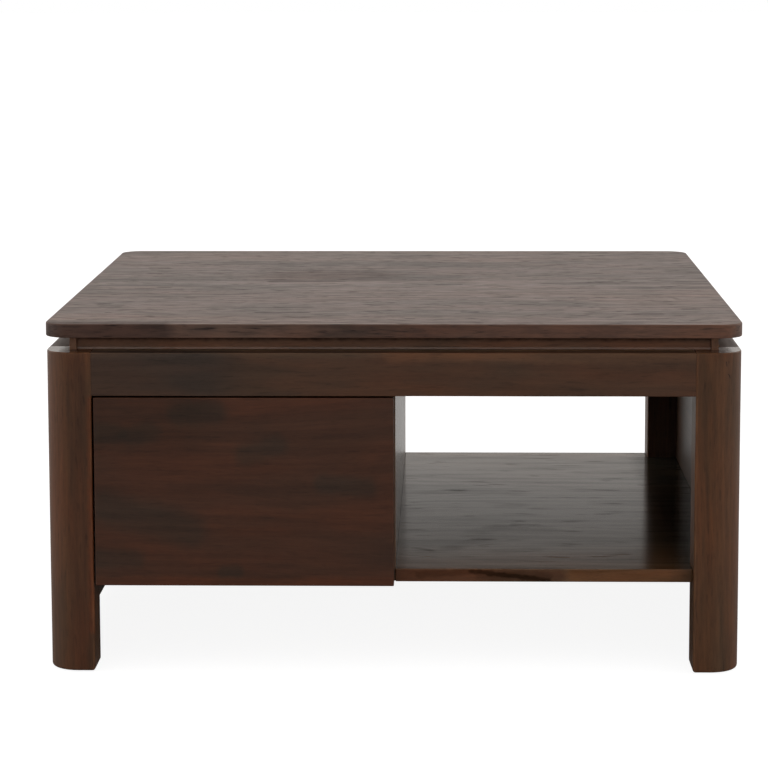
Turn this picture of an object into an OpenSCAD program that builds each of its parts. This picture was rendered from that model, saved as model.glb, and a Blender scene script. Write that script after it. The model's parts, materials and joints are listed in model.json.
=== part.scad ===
// Square coffee table: a thin top lifted off its frame by a set-back reveal, four legs with a large
// rounded outer corner, one handleless drawer on ball-bearing runners and one open shelf beside it.
// Millimetres, +Z up. The origin is on the floor under the middle of the top. The drawer opens along -Y.

/* [Table] */
// Width of the top, along X
table_w = 800; // [640:10:1200]
// Depth of the top, along Y
table_d = 800; // [640:10:1200]
// Height from the floor to the top's upper face
table_h = 407; // [380:1:520]

/* [Top] */
// Thickness of the top
top_t = 16; // [12:1:30]
// Radius of the top's corners in plan
top_corner_r = 28; // [5:1:60]
// Rounding of the top's upper and lower edges
top_ease = 1.5; // [0.5:0.25:4]
// How far the top stands past the frame, on every side
top_overhang = 0; // [0:0.5:20]

/* [Reveal] */
// Height of the reveal between frame and top
reveal_h = 17; // [8:1:30]
// Thickness of the reveal strips
reveal_t = 8; // [6:1:20]
// From the top's edge in to the outer faces and the ends of the side strips
reveal_inset = 27; // [18:0.5:40]
// From the ends of the side strips back to the front strip's face
reveal_step = 5.5; // [0:0.5:15]
// Width of each batten under the top
batten_w = 45; // [30:1:80]
// From the middle of the table to the middle of each batten
batten_x = 225; // [120:5:260]

/* [Legs] */
// Side of the square leg
leg_w = 54.5; // [44:0.5:80]
// Radius of the leg's outer corner
leg_corner_r = 35; // [8:1:40]
// Rounding of the leg's other upright edges
leg_edge_r = 3; // [1:0.5:8]
// Diameter of the glide under each leg
glide_d = 26; // [16:1:40]
// Thickness of the glide
glide_t = 1.2; // [0.8:0.2:6]

/* [Frame] */
// Height of the aprons
apron_h = 50; // [40:1:80]
// Thickness of the aprons
apron_t = 22; // [18:1:30]
// Rounding of the aprons' outer edges
apron_ease = 1; // [0.5:0.25:3]
// Length of the tenons on the aprons
tenon_len = 20; // [12:1:30]
// Thickness of the tenons
tenon_t = 10; // [6:1:12]
// Shoulder above and below each tenon
tenon_shoulder = 6; // [4:1:12]
// Clearance round every glued tenon, tongue and housing
glue_gap = 0.1; // [0.05:0.05:0.3]
// Thickness of the sub-top
sub_top_t = 12; // [9:1:18]
// Side of the square cleats under the sub-top
cleat_w = 15; // [10:1:20]

/* [Panels] */
// Thickness of the side panels
side_panel_t = 10; // [8:1:20]
// From the leg's outer face in to the side panel's outer face
side_panel_set = 3.5; // [2:0.5:20]
// Height of the side panels' lower edge over the floor
side_panel_foot = 5; // [3:1:90]
// Depth of the side panels' tongues in the legs
tongue = 8; // [4:1:12]
// Thickness of the divider
divider_t = 15; // [12:1:22]
// From the middle of the table to the divider's right face
divider_x = 2.5; // [-60:0.5:60]
// Thickness of the shelf
shelf_t = 15; // [12:1:22]
// Height of the shelf's upper face over the floor
shelf_z = 119; // [100:1:180]
// From the frame's front face back to the shelf's front edge, and the same at the rear
shelf_set = 19; // [4:1:40]
// Depth of the housings that hold the shelf
housing = 5; // [3:1:7]
// Thickness of the panel behind the drawer
rear_panel_t = 12; // [9:1:18]

/* [Drawer] */
// Thickness of the drawer's front
front_t = 20; // [15:1:22]
// Height of the drawer's front
front_h = 219.5; // [180:0.5:230]
// Gap over the drawer's front
front_gap = 2; // [1:0.5:4]
// Gap between the drawer's front and the leg
front_side_gap = 2; // [0.5:0.25:3]
// How much of the divider's edge shows beside the drawer's front
divider_show = 1.5; // [0.5:0.5:6]
// Rounding of the drawer front's edges
front_ease = 1; // [0.5:0.25:3]
// Height of the drawer box
box_h = 150; // [110:1:160]
// From the front's lower edge up to the drawer box
box_lift = 22; // [15:1:35]
// Thickness of the box's sides, subfront and back
box_t = 12; // [10:1:15]
// Length of the drawer box, front to back
box_len = 505; // [505:5:560]
// Thickness of the drawer's bottom
bottom_t = 6; // [4:1:9]
// From the box's lower edge up to the drawer's bottom
bottom_lift = 10; // [6:1:14]
// Depth of the groove that holds the bottom
bottom_groove = 6; // [4:1:7]

/* [Runners] */
// Length of the runners
runner_len = 500; // [400:10:500]
// Height of the outer member
runner_h = 45; // [42:1:52]
// Thickness of the whole runner
runner_w = 12.7; // [12.7:0.1:15.4]
// Thickness of the runners' steel
steel_t = 1.2; // [1:0.1:1.5]
// Diameter of the bearing balls
ball_d = 3; // [2.5:0.1:3.6]
// Running clearance beside each ball
ball_gap = 0.3; // [0.2:0.05:0.4]
// Balls in each row
balls = 6; // [3:1:10]
// Length of each ball cage
cage_len = 150; // [100:5:180]
// From the box's lower edge to the middle of the runners
runner_lift = 62; // [40:1:80]
// Gap between the back of the drawer's front and the runners' front ends
runner_set = 2; // [1:0.5:5]

/* [Screws] */
// Diameter of the screws
screw_d = 4; // [3:0.5:5]
// Diameter of the screw heads
screw_head_d = 8; // [6:0.5:9]
// Thickness of the flat heads on the runners' screws
wafer_t = 0.9; // [0.6:0.1:1]
// How far the top's screws reach into the top
top_bite = 9; // [6:1:10]
// How far the runners' screws reach into the wood
runner_bite = 10; // [6:1:10]
// How far the front's screws reach into the front
front_bite = 13; // [8:1:14]

/* [Hidden] */
$fn = 96;

// Colours of the stained wood, the plainer wood inside and the metal
top_wood = [0.30, 0.22, 0.18];
frame_wood = [0.31, 0.20, 0.15];
front_wood = [0.26, 0.17, 0.14];
inner_wood = [0.38, 0.27, 0.20];
steel = [0.72, 0.73, 0.75];
black = [0.10, 0.10, 0.10];

// Heights
top_z = table_h - top_t;
frame_z = top_z - reveal_h;
apron_z = frame_z - apron_h;
sub_top_z = frame_z - sub_top_t;
cleat_z = sub_top_z - cleat_w;
front_top_z = apron_z - front_gap;
front_z = front_top_z - front_h;
box_z = front_z + box_lift;
box_top_z = box_z + box_h;
bottom_z = box_z + bottom_lift;
runner_z = box_z + runner_lift;
shelf_low_z = shelf_z - shelf_t;
panel_top_z = apron_z + tenon_shoulder / 2;

// Half sizes of the frame, and the inner faces of its legs, aprons and side panels
frame_x = table_w / 2 - top_overhang;
frame_y = table_d / 2 - top_overhang;
leg_in_x = frame_x - leg_w;
leg_in_y = frame_y - leg_w;
apron_in_x = frame_x - apron_t;
apron_in_y = frame_y - apron_t;
panel_out_x = frame_x - side_panel_set;
panel_in_x = panel_out_x - side_panel_t;
shelf_y = frame_y - shelf_set;

// Reveal
reveal_x = table_w / 2 - reveal_inset;
reveal_y = table_d / 2 - reveal_inset;
reveal_face_y = reveal_y - reveal_step;
reveal_in_x = reveal_x - reveal_t;
reveal_in_y = reveal_face_y - reveal_t;

// Drawer
divider_left = divider_x - divider_t;
front_left = -leg_in_x + front_side_gap;
front_right = divider_x - divider_show;
front_back_y = -frame_y + front_t;
box_left = -leg_in_x + runner_w;
box_right = divider_left - runner_w;
box_back_y = front_back_y + box_len;

// Section of the runners: u runs from the case to the drawer box, v up from the middle
race = ball_d + 2 * ball_gap;
outer_v = runner_h / 2;
middle_v = outer_v - steel_t - race;
inner_v = middle_v - steel_t - race;
runner_y = front_back_y + runner_set;
outer_u = 11;
lip_v = 1.5;
middle_u = [2.5, runner_w - 0.7];
inner_u = [5, runner_w];
outer_cage_u = [4.5, 9.4];
inner_cage_u = [6, 10.9];
cage_t = 0.6;
pocket_gap = 0.15;
end_pocket = 10;

// Screw places: along the battens, along the runners, and in from the edges of the drawer's front
batten_screw_shares = [-0.8, -0.3, 0.3, 0.8];
case_screw_shares = [0.45, 0.88];
box_screw_shares = [0.09, 0.5, 0.9];
case_screw_end = 15;
front_screw_in = [60, 40, 35];
batten_screw_y = batten_screw_shares * reveal_in_y;
case_screw_y = [case_screw_end - leg_in_y, for (s = case_screw_shares) runner_y + s * runner_len];
box_screw_y = [for (s = box_screw_shares) runner_y + s * runner_len];
front_screw_x = [box_left + front_screw_in[0], box_right - front_screw_in[0]];
front_screw_z = [box_z + front_screw_in[1], box_top_z - front_screw_in[2]];
pan_head_t = 2;
steel_hole_d = screw_d + 0.4;
wood_hole_d = screw_d + 2 * glue_gap;

// Half height of the packer behind the left runner
packer_v = 1.3 * outer_v;

// A box given by its low and its high corner
module block(low, high) {
    translate(low) cube(high - low);
}

// The waste outside a quarter round of radius r, for a corner at the origin whose wood is towards +X and +Y
module corner_waste(r) {
    difference() {
        translate([-1, -1]) square(r + 1);
        translate([r, r]) circle(r);
    }
}

// A rectangle of size w by h, centred, whose four corners are rounded by r
module round_rect(w, h, r) {
    square([w - 2 * r, h], center = true);
    square([w, h - 2 * r], center = true);
    for (x = [-1, 1], y = [-1, 1])
        translate([x * (w / 2 - r), y * (h / 2 - r)]) circle(r);
}

// A board lying flat on z = 0, with rounded corners in plan and its upper and lower edges eased all round
module eased_board(w, d, t, corner, ease) {
    translate([0, 0, t / 2]) {
        rotate([90, 0, 0])
            linear_extrude(d - 2 * corner, center = true) round_rect(w, t, ease);
        rotate([90, 0, 90])
            linear_extrude(w - 2 * corner, center = true) round_rect(d, t, ease);
        for (x = [0, 1], y = [0, 1])
            mirror([x, 0, 0]) mirror([0, y, 0])
                translate([w / 2 - corner, d / 2 - corner, 0])
                    rotate_extrude(angle = 90)
                        intersection() {
                            round_rect(2 * corner, t, ease);
                            translate([0, -t]) square([corner, 2 * t]);
                        }
    }
}

// A board given by its low and high corner, whose edges along X on the -Y face are eased
module front_eased(low, high, ease) {
    rotate([90, 0, 90])
        translate([0, 0, low[0]])
            linear_extrude(high[0] - low[0])
                difference() {
                    translate([low[1], low[2]]) square([high[1] - low[1], high[2] - low[2]]);
                    translate([low[1], low[2]]) corner_waste(ease);
                    translate([low[1], high[2]]) mirror([0, 1]) corner_waste(ease);
                }
}

// Upright cylinder cuts for screws at a list of places, from height z0 to z1
module upright_holes(places, d, z0, z1) {
    for (p = places)
        translate([p[0], p[1], z0]) cylinder(h = z1 - z0, d = d);
}

// Runs its children on the left side, or mirrored onto the right
module side(right) {
    mirror([right ? 1 : 0, 0, 0]) children();
}

// Runs its children at the front, or mirrored to the rear
module end(rear) {
    mirror([0, rear ? 1 : 0, 0]) children();
}

// Places of the screws under the top
top_screw_places = [for (x = [-batten_x, batten_x], y = batten_screw_y) [x, y]];

module table_top() {
    color(top_wood)
        difference() {
            translate([0, 0, top_z])
                eased_board(table_w, table_d, top_t, top_corner_r, top_ease);
            upright_holes(top_screw_places, wood_hole_d, top_z - 1, top_z + top_bite + glue_gap);
        }
}

// The front and rear strips stand between the side strips
module reveal_cross(rear) {
    color(frame_wood)
        end(rear)
            block([-reveal_in_x + glue_gap, -reveal_face_y, frame_z],
                  [reveal_in_x - glue_gap, -reveal_in_y, top_z]);
}

module reveal_side(right) {
    color(frame_wood)
        side(right)
            block([-reveal_x, -reveal_y, frame_z], [-reveal_in_x, reveal_y, top_z]);
}

module top_battens() {
    color(inner_wood)
        for (x = [-batten_x, batten_x])
            difference() {
                block([x - batten_w / 2, -reveal_in_y + glue_gap, frame_z],
                      [x + batten_w / 2, reveal_in_y - glue_gap, top_z]);
                upright_holes(top_screw_places, wood_hole_d, frame_z - 1, top_z + 1);
            }
}

// Each has its head under the sub-top and its shank in the top
module top_screws() {
    color(steel)
        for (p = top_screw_places)
            translate([p[0], p[1], sub_top_z]) {
                cylinder(h = top_z - sub_top_z + top_bite, d = screw_d);
                translate([0, 0, -pan_head_t]) cylinder(h = pan_head_t, d = screw_head_d);
            }
}

// Leg at the front left, with its mortises and the groove for the side panel
module leg_body() {
    difference() {
        translate([-frame_x, -frame_y, glide_t])
            linear_extrude(frame_z - glide_t)
                difference() {
                    square(leg_w);
                    corner_waste(leg_corner_r);
                    translate([leg_w, 0]) mirror([1, 0]) corner_waste(leg_edge_r);
                    translate([0, leg_w]) mirror([0, 1]) corner_waste(leg_edge_r);
                    translate([leg_w, leg_w]) rotate(180) corner_waste(leg_edge_r);
                }
        cross_apron_tenon(glue_gap);
        side_apron_tenon(glue_gap);
        block([-panel_out_x - glue_gap, -leg_in_y - tongue - glue_gap, side_panel_foot - glue_gap],
              [-panel_in_x + glue_gap, -leg_in_y + 1, panel_top_z + glue_gap]);
    }
}

module leg(right, rear) {
    color(frame_wood) side(right) end(rear) leg_body();
}

module foot_glides() {
    color(black)
        for (x = [-1, 1], y = [-1, 1])
            translate([x * (frame_x - leg_w / 2), y * (frame_y - leg_w / 2), 0])
                cylinder(h = glide_t, d = glide_d);
}

// Tenon of a front or rear apron in the leg at the front left, larger all round by gap
module cross_apron_tenon(gap) {
    middle_y = -frame_y + apron_t / 2;
    block([-leg_in_x - tenon_len - gap, middle_y - tenon_t / 2 - gap, apron_z + tenon_shoulder - gap],
          [-leg_in_x + 1, middle_y + tenon_t / 2 + gap, frame_z - tenon_shoulder + gap]);
}

// Tenon of a side apron in the same leg
module side_apron_tenon(gap) {
    middle_x = -frame_x + apron_t / 2;
    block([middle_x - tenon_t / 2 - gap, -leg_in_y - tenon_len - gap, apron_z + tenon_shoulder - gap],
          [middle_x + tenon_t / 2 + gap, -leg_in_y + 1, frame_z - tenon_shoulder + gap]);
}

// The front and rear aprons run along X between the legs
module cross_apron(rear) {
    color(frame_wood)
        end(rear) {
            front_eased([-leg_in_x, -frame_y, apron_z], [leg_in_x, -apron_in_y, frame_z], apron_ease);
            for (right = [false, true])
                side(right) cross_apron_tenon(0);
        }
}

// The side aprons run along Y and are rebated for the side panel's upper edge
module side_apron(right) {
    color(frame_wood)
        side(right) {
            difference() {
                rotate(-90)
                    front_eased([-leg_in_y, -frame_x, apron_z],
                                [leg_in_y, -apron_in_x, frame_z], apron_ease);
                block([-panel_out_x - glue_gap, -leg_in_y - 1, apron_z - 1],
                      [-panel_in_x + glue_gap, leg_in_y + 1, panel_top_z + glue_gap]);
            }
            for (rear = [false, true])
                end(rear) side_apron_tenon(0);
        }
}

// Fills the frame inside the aprons, notched round the legs
module sub_top() {
    color(inner_wood)
        difference() {
            block([-apron_in_x + glue_gap, -apron_in_y + glue_gap, sub_top_z],
                  [apron_in_x - glue_gap, apron_in_y - glue_gap, frame_z]);
            for (right = [false, true], rear = [false, true])
                side(right) end(rear)
                    block([-frame_x, -frame_y, sub_top_z - 1],
                          [-leg_in_x + glue_gap, -leg_in_y + glue_gap, frame_z + 1]);
            upright_holes(top_screw_places, wood_hole_d, sub_top_z - 1, frame_z + 1);
        }
}

module cleat_cross(rear) {
    color(inner_wood)
        end(rear)
            block([-leg_in_x + glue_gap, -apron_in_y, cleat_z],
                  [leg_in_x - glue_gap, -apron_in_y + cleat_w, sub_top_z]);
}

module cleat_side(right) {
    color(inner_wood)
        side(right)
            block([-apron_in_x, -leg_in_y + glue_gap, cleat_z],
                  [-apron_in_x + cleat_w, leg_in_y - glue_gap, sub_top_z]);
}

// Shelf in the right-hand bay, larger all round by gap where it makes its housings
module shelf_body(gap) {
    difference() {
        union() {
            block([divider_x, -shelf_y, shelf_low_z], [panel_in_x, shelf_y, shelf_z]);
            block([divider_x - housing - gap, -apron_in_y + housing - gap, shelf_low_z - gap],
                  [panel_in_x + housing + gap, apron_in_y - housing + gap, shelf_z + gap]);
        }
        for (rear = [false, true])
            end(rear)
                block([leg_in_x - glue_gap, -frame_y, shelf_low_z - 1],
                      [frame_x, -leg_in_y + glue_gap, shelf_z + 1]);
    }
}

module shelf() {
    color(top_wood) shelf_body(0);
}

module side_panel(right) {
    color(frame_wood)
        difference() {
            side(right)
                block([-panel_out_x, -leg_in_y - tongue, side_panel_foot],
                      [-panel_in_x, leg_in_y + tongue, panel_top_z]);
            shelf_body(glue_gap);
        }
}

// Reaches the sub-top, notched round the cleats and the rear apron, and rebated for the shelf
module divider() {
    color(frame_wood)
        difference() {
            block([divider_left, -apron_in_y + glue_gap, shelf_low_z], [divider_x, shelf_y, sub_top_z]);
            for (rear = [false, true])
                end(rear)
                    block([divider_left - 1, -frame_y, cleat_z - glue_gap],
                          [divider_x + 1, -apron_in_y + cleat_w + glue_gap, sub_top_z + 1]);
            block([divider_left - 1, apron_in_y - glue_gap, apron_z - glue_gap],
                  [divider_x + 1, frame_y, sub_top_z + 1]);
            shelf_body(glue_gap);
            runner_case_holes(true);
        }
}

module rear_panel() {
    color(inner_wood)
        block([-leg_in_x + glue_gap, apron_in_y - rear_panel_t, shelf_low_z],
              [divider_left - glue_gap, apron_in_y - glue_gap, cleat_z - glue_gap]);
}

module runner_packer() {
    color(inner_wood)
        difference() {
            block([-panel_in_x, -leg_in_y + glue_gap, runner_z - packer_v],
                  [-leg_in_x, leg_in_y - glue_gap, runner_z + packer_v]);
            runner_case_holes(false);
        }
}

module drawer_front() {
    color(front_wood)
        difference() {
            front_eased([front_left, -frame_y, front_z],
                        [front_right, front_back_y, front_top_z], front_ease);
            front_screw_cuts(wood_hole_d);
        }
}

// Cylinders through the subfront into the front, at the four screw places
module front_screw_cuts(d) {
    gap = (d - screw_d) / 2;
    for (x = front_screw_x, z = front_screw_z)
        translate([x, front_back_y + box_t + gap, z])
            rotate([90, 0, 0]) cylinder(h = box_t + front_bite + 2 * gap, d = d);
}

module drawer_front_screws() {
    color(steel) {
        front_screw_cuts(screw_d);
        for (x = front_screw_x, z = front_screw_z)
            translate([x, front_back_y + box_t + pan_head_t, z])
                rotate([90, 0, 0]) cylinder(h = pan_head_t, d = screw_head_d);
    }
}

// Bottom board, larger all round by gap where it makes its grooves; it runs out under the back
module bottom_board(gap) {
    edge = box_t - bottom_groove + glue_gap - gap;
    block([box_left + edge, front_back_y + edge, bottom_z - gap],
          [box_right - edge, box_back_y + gap, bottom_z + bottom_t + gap]);
}

module drawer_subfront() {
    color(inner_wood)
        difference() {
            block([box_left + box_t, front_back_y, box_z],
                  [box_right - box_t, front_back_y + box_t, box_top_z]);
            bottom_board(glue_gap);
            front_screw_cuts(wood_hole_d);
        }
}

module drawer_side(right) {
    color(inner_wood)
        difference() {
            block([right ? box_right - box_t : box_left, front_back_y, box_z],
                  [right ? box_right : box_left + box_t, box_back_y, box_top_z]);
            bottom_board(glue_gap);
            runner_box_holes(right);
        }
}

module drawer_back() {
    color(inner_wood)
        block([box_left + box_t, box_back_y - box_t, bottom_z + bottom_t + glue_gap],
              [box_right - box_t, box_back_y, box_top_z]);
}

module drawer_bottom() {
    color(inner_wood) bottom_board(0);
}

// Places a runner drawn along +Y, with u along +X from the case, on the left leg's plane or on the divider
module on_case(right) {
    translate([right ? divider_left : -leg_in_x, runner_y, runner_z])
        mirror([right ? 1 : 0, 0, 0]) children();
}

// Extrudes a runner section, drawn with u along X and v along Y, over the runner's length
module runner_member() {
    translate([0, runner_len, 0])
        rotate([90, 0, 0]) linear_extrude(runner_len) children();
}

// Cross holes or shanks through a runner's web, at places along Y, from u0 to u1
module cross_cylinders(places, d, u0, u1) {
    for (y = places)
        translate([u0, y - runner_y, 0])
            rotate([0, 90, 0]) cylinder(h = u1 - u0, d = d);
}

module runner_case_holes(right) {
    on_case(right) cross_cylinders(case_screw_y, wood_hole_d, -runner_bite - glue_gap, 1);
}

module runner_box_holes(right) {
    on_case(right)
        cross_cylinders(box_screw_y, wood_hole_d, runner_w - 1, runner_w + runner_bite + glue_gap);
}

// Channel fixed to the case, whose lips keep the balls in
module runner_outer(right) {
    color(steel)
        on_case(right)
            difference() {
                runner_member()
                    difference() {
                        translate([0, -outer_v]) square([outer_u, runner_h]);
                        translate([steel_t, steel_t - outer_v])
                            square([outer_u - 2 * steel_t, runner_h - 2 * steel_t]);
                        translate([steel_t, steel_t + lip_v - outer_v])
                            square([outer_u, runner_h - 2 * steel_t - 2 * lip_v]);
                    }
                cross_cylinders(case_screw_y, steel_hole_d, -1, steel_t + 1);
            }
}

// Channel between the other two, open towards the drawer
module runner_middle(right) {
    color(steel)
        on_case(right)
            runner_member()
                difference() {
                    translate([middle_u[0], -middle_v]) square([middle_u[1] - middle_u[0], 2 * middle_v]);
                    translate([middle_u[0] + steel_t, steel_t - middle_v])
                        square([middle_u[1], 2 * (middle_v - steel_t)]);
                }
}

// Channel fixed to the drawer box
module runner_inner(right) {
    color(steel)
        on_case(right)
            difference() {
                runner_member()
                    difference() {
                        translate([inner_u[0], -inner_v]) square([inner_u[1] - inner_u[0], 2 * inner_v]);
                        translate([inner_u[0] - steel_t, steel_t - inner_v])
                            square([inner_u[1] - inner_u[0], 2 * (inner_v - steel_t)]);
                    }
                cross_cylinders(box_screw_y, steel_hole_d, runner_w - steel_t - 1, runner_w + 1);
            }
}

// Two strips of balls in their cage, at height v above and below the middle, over the width cage_u
module ball_cage(cage_u, v) {
    ball_u = (cage_u[0] + cage_u[1]) / 2;
    pitch = (cage_len - 2 * end_pocket) / (balls - 1);
    for (level = [-v, v])
        translate([0, (runner_len - cage_len) / 2, level]) {
            difference() {
                block([cage_u[0], 0, -cage_t / 2], [cage_u[1], cage_len, cage_t / 2]);
                for (i = [0 : balls - 1])
                    translate([ball_u, end_pocket + i * pitch, -cage_t])
                        cylinder(h = 2 * cage_t, d = ball_d + 2 * pocket_gap);
            }
            for (i = [0 : balls - 1])
                translate([ball_u, end_pocket + i * pitch, 0]) sphere(d = ball_d);
        }
}

module outer_cage(right) {
    color(steel) on_case(right) ball_cage(outer_cage_u, middle_v + race / 2);
}

module inner_cage(right) {
    color(steel) on_case(right) ball_cage(inner_cage_u, inner_v + race / 2);
}

module case_screws(right) {
    color(steel)
        on_case(right) {
            cross_cylinders(case_screw_y, screw_d, -runner_bite, steel_t);
            cross_cylinders(case_screw_y, screw_head_d, steel_t, steel_t + wafer_t);
        }
}

module box_screws(right) {
    color(steel)
        on_case(right) {
            cross_cylinders(box_screw_y, screw_d, runner_w - steel_t, runner_w + runner_bite);
            cross_cylinders(box_screw_y, screw_head_d, runner_w - steel_t - wafer_t, runner_w - steel_t);
        }
}

table_top();
reveal_cross(false);  // reveal_front
reveal_cross(true);  // reveal_rear
reveal_side(false);  // reveal_left
reveal_side(true);  // reveal_right
top_battens();
top_screws();
leg(false, false);  // leg_front_left
leg(true, false);  // leg_front_right
leg(false, true);  // leg_rear_left
leg(true, true);  // leg_rear_right
foot_glides();
cross_apron(false);  // apron_front
cross_apron(true);  // apron_rear
side_apron(false);  // apron_left
side_apron(true);  // apron_right
sub_top();
cleat_cross(false);  // cleat_front
cleat_cross(true);  // cleat_rear
cleat_side(false);  // cleat_left
cleat_side(true);  // cleat_right
side_panel(false);  // side_panel_left
side_panel(true);  // side_panel_right
divider();
shelf();
rear_panel();
runner_packer();
drawer_front();
drawer_subfront();
drawer_side(false);  // drawer_side_left
drawer_side(true);  // drawer_side_right
drawer_back();
drawer_bottom();
drawer_front_screws();
runner_outer(false);  // runner_outer_left
runner_middle(false);  // runner_middle_left
runner_inner(false);  // runner_inner_left
outer_cage(false);  // outer_cage_left
inner_cage(false);  // inner_cage_left
runner_outer(true);  // runner_outer_right
runner_middle(true);  // runner_middle_right
runner_inner(true);  // runner_inner_right
outer_cage(true);  // outer_cage_right
inner_cage(true);  // inner_cage_right
case_screws(false);  // case_screws_left
case_screws(true);  // case_screws_right
box_screws(false);  // box_screws_left
box_screws(true);  // box_screws_right
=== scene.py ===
"""Looks for a square coffee table: stained boards with eased edges, its drawer, its steel and a studio.

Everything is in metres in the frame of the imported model: +Z up, the origin on the floor under the middle
of the top, and the drawer opens along -Y.
"""

import json
import math
from collections import namedtuple
from itertools import product

import bpy
import numpy as np
from bpy.props import FloatProperty, FloatVectorProperty, PointerProperty
from bpy.types import Operator, Panel, PropertyGroup
from mathutils import Matrix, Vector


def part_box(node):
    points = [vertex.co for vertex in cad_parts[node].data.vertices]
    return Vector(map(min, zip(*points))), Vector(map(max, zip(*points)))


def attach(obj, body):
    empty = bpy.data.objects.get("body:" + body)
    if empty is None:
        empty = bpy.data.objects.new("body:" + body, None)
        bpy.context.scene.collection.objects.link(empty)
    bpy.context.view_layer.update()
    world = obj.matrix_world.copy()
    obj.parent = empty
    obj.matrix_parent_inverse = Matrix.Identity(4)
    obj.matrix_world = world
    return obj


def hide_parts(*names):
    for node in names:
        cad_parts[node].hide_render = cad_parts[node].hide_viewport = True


bl_info = {
    "name": "Square coffee table",
    "version": (1, 0, 0),
    "blender": (4, 5, 0),
    "location": "3D view > Sidebar > Coffee table",
    "description": "Stained boards, drawer, steel and studio of a square coffee table",
    "category": "Object",
}

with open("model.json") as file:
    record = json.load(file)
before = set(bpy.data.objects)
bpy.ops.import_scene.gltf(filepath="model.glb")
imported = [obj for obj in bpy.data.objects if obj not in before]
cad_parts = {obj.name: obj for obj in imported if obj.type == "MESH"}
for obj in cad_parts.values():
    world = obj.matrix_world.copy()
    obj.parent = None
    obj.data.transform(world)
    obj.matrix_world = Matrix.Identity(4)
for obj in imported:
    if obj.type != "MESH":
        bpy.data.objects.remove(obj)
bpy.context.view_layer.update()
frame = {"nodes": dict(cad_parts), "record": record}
RECORD = frame["record"]
BODY_OF = {node: body for body, nodes in RECORD["behaviour"]["bodies"].items() for node in nodes}

# Image width in pixels, of which the camera's focal length and its shift are a share
IMAGE_PX = 768
FOCAL_PX = 2746.0
CENTRE_DOWN_PX = 310
SENSOR_MM = 36

# Heights at which the walls' light is given, each as the sine of its angle above the floor
AHEAD_HEIGHTS = (0.03, 0.08, 0.125, 0.175, 0.225, 0.30, 0.45)
BEHIND_HEIGHTS = (0.06, 0.12, 0.16, 0.26, 0.34, 0.45)
SIDE_HEIGHTS = (0.06, 0.16, 0.45)
CEILING_HEIGHT = 0.75

# Steps round an eased edge, and the greatest length of a step round a corner and along a straight
EASE_STEPS = 4
ARC_STEP = 0.0012
STRAIGHT_STEP = 0.02
ROW_STEP = 0.03
# Corners larger than this aren't worn lighter
WORN_RADIUS = 0.005
# How far in a line can be drawn where no corner is in the way: more than any edge is eased
NO_CORNER = 1.0
# Dark marks in the wood: their tint, and how much rougher they are
DARK_STAIN = (0.22, 0.26, 0.32)
GREY_CLOUD = (0.70, 0.91, 1.05)
MARK_DULL = 0.35
# The screws: radii of head and shank, and for round and flat heads how thick they are and how far they rise
HEAD_RADIUS = 0.004
SHANK_RADIUS = 0.002
ROUND_HEAD = (0.002, 0.0007)
FLAT_HEAD = (0.0009, 0.0001)
# Half the floor's side, and how far the camera sees
FLOOR_REACH = 40.0
CAMERA_REACH = 200.0


def length(name, value, about):
    """A size in metres that a user can change."""
    return FloatProperty(name=name, description=about, default=value, min=0.0, unit="LENGTH", precision=4)


def share(name, value, about, high=1.0):
    """A plain factor that a user can change."""
    return FloatProperty(name=name, description=about, default=value, min=0.0, max=high, subtype="FACTOR")


def angle(name, value, about):
    """An angle that a user can change."""
    return FloatProperty(name=name, description=about, default=value, subtype="ANGLE")


def wall_light(name, values):
    """The brightness of a wall of the studio at its rising heights, which a user can change."""
    about = "Brightness from the floor up"
    return FloatVectorProperty(name=name, description=about, default=values, min=0.0, size=len(values))


def shade(name, value, about):
    """A colour that a user can change, in linear light."""
    return FloatVectorProperty(
        name=name, description=about, default=value, min=0.0, max=1.0, size=3, subtype="COLOR"
    )


class TableEdges(PropertyGroup):
    """Rounded and eased edges of the boards."""

    top_corner: length("Top corner", 0.028, "Radius of the top's corners in plan")
    top_ease: length("Top edge", 0.0015, "Rounding of the top's upper and lower edges")
    leg_corner: length("Leg corner", 0.035, "Radius of each leg's outer corner")
    leg_edge: length("Leg edges", 0.003, "Rounding of each leg's other upright edges")
    foot_ease: length("Leg foot", 0.0038, "Rounding round the foot of each leg")
    rail_ease: length("Apron edge", 0.001, "Rounding of the aprons' outer edges and the legs' tops")
    front_ease: length("Drawer front edge", 0.001, "Rounding of the drawer front's edges")
    panel_ease: length("Panel edge", 0.0007, "Rounding of the panels', divider's and shelf's edges")
    box_ease: length("Drawer side edge", 0.002, "Rounding of the upper edges of the drawer box")
    joint_ease: length("Joint", 0.0003, "Rounding where a board butts against another")
    flare: length("Reveal flare", 0.0005, "How far the foot of the reveal strips flares out")
    flare_high: length("Flare height", 0.0024, "Height of that flare")
    wander: length("Sanding", 0.0002, "How far hand sanding has left the faces from true")


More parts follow.
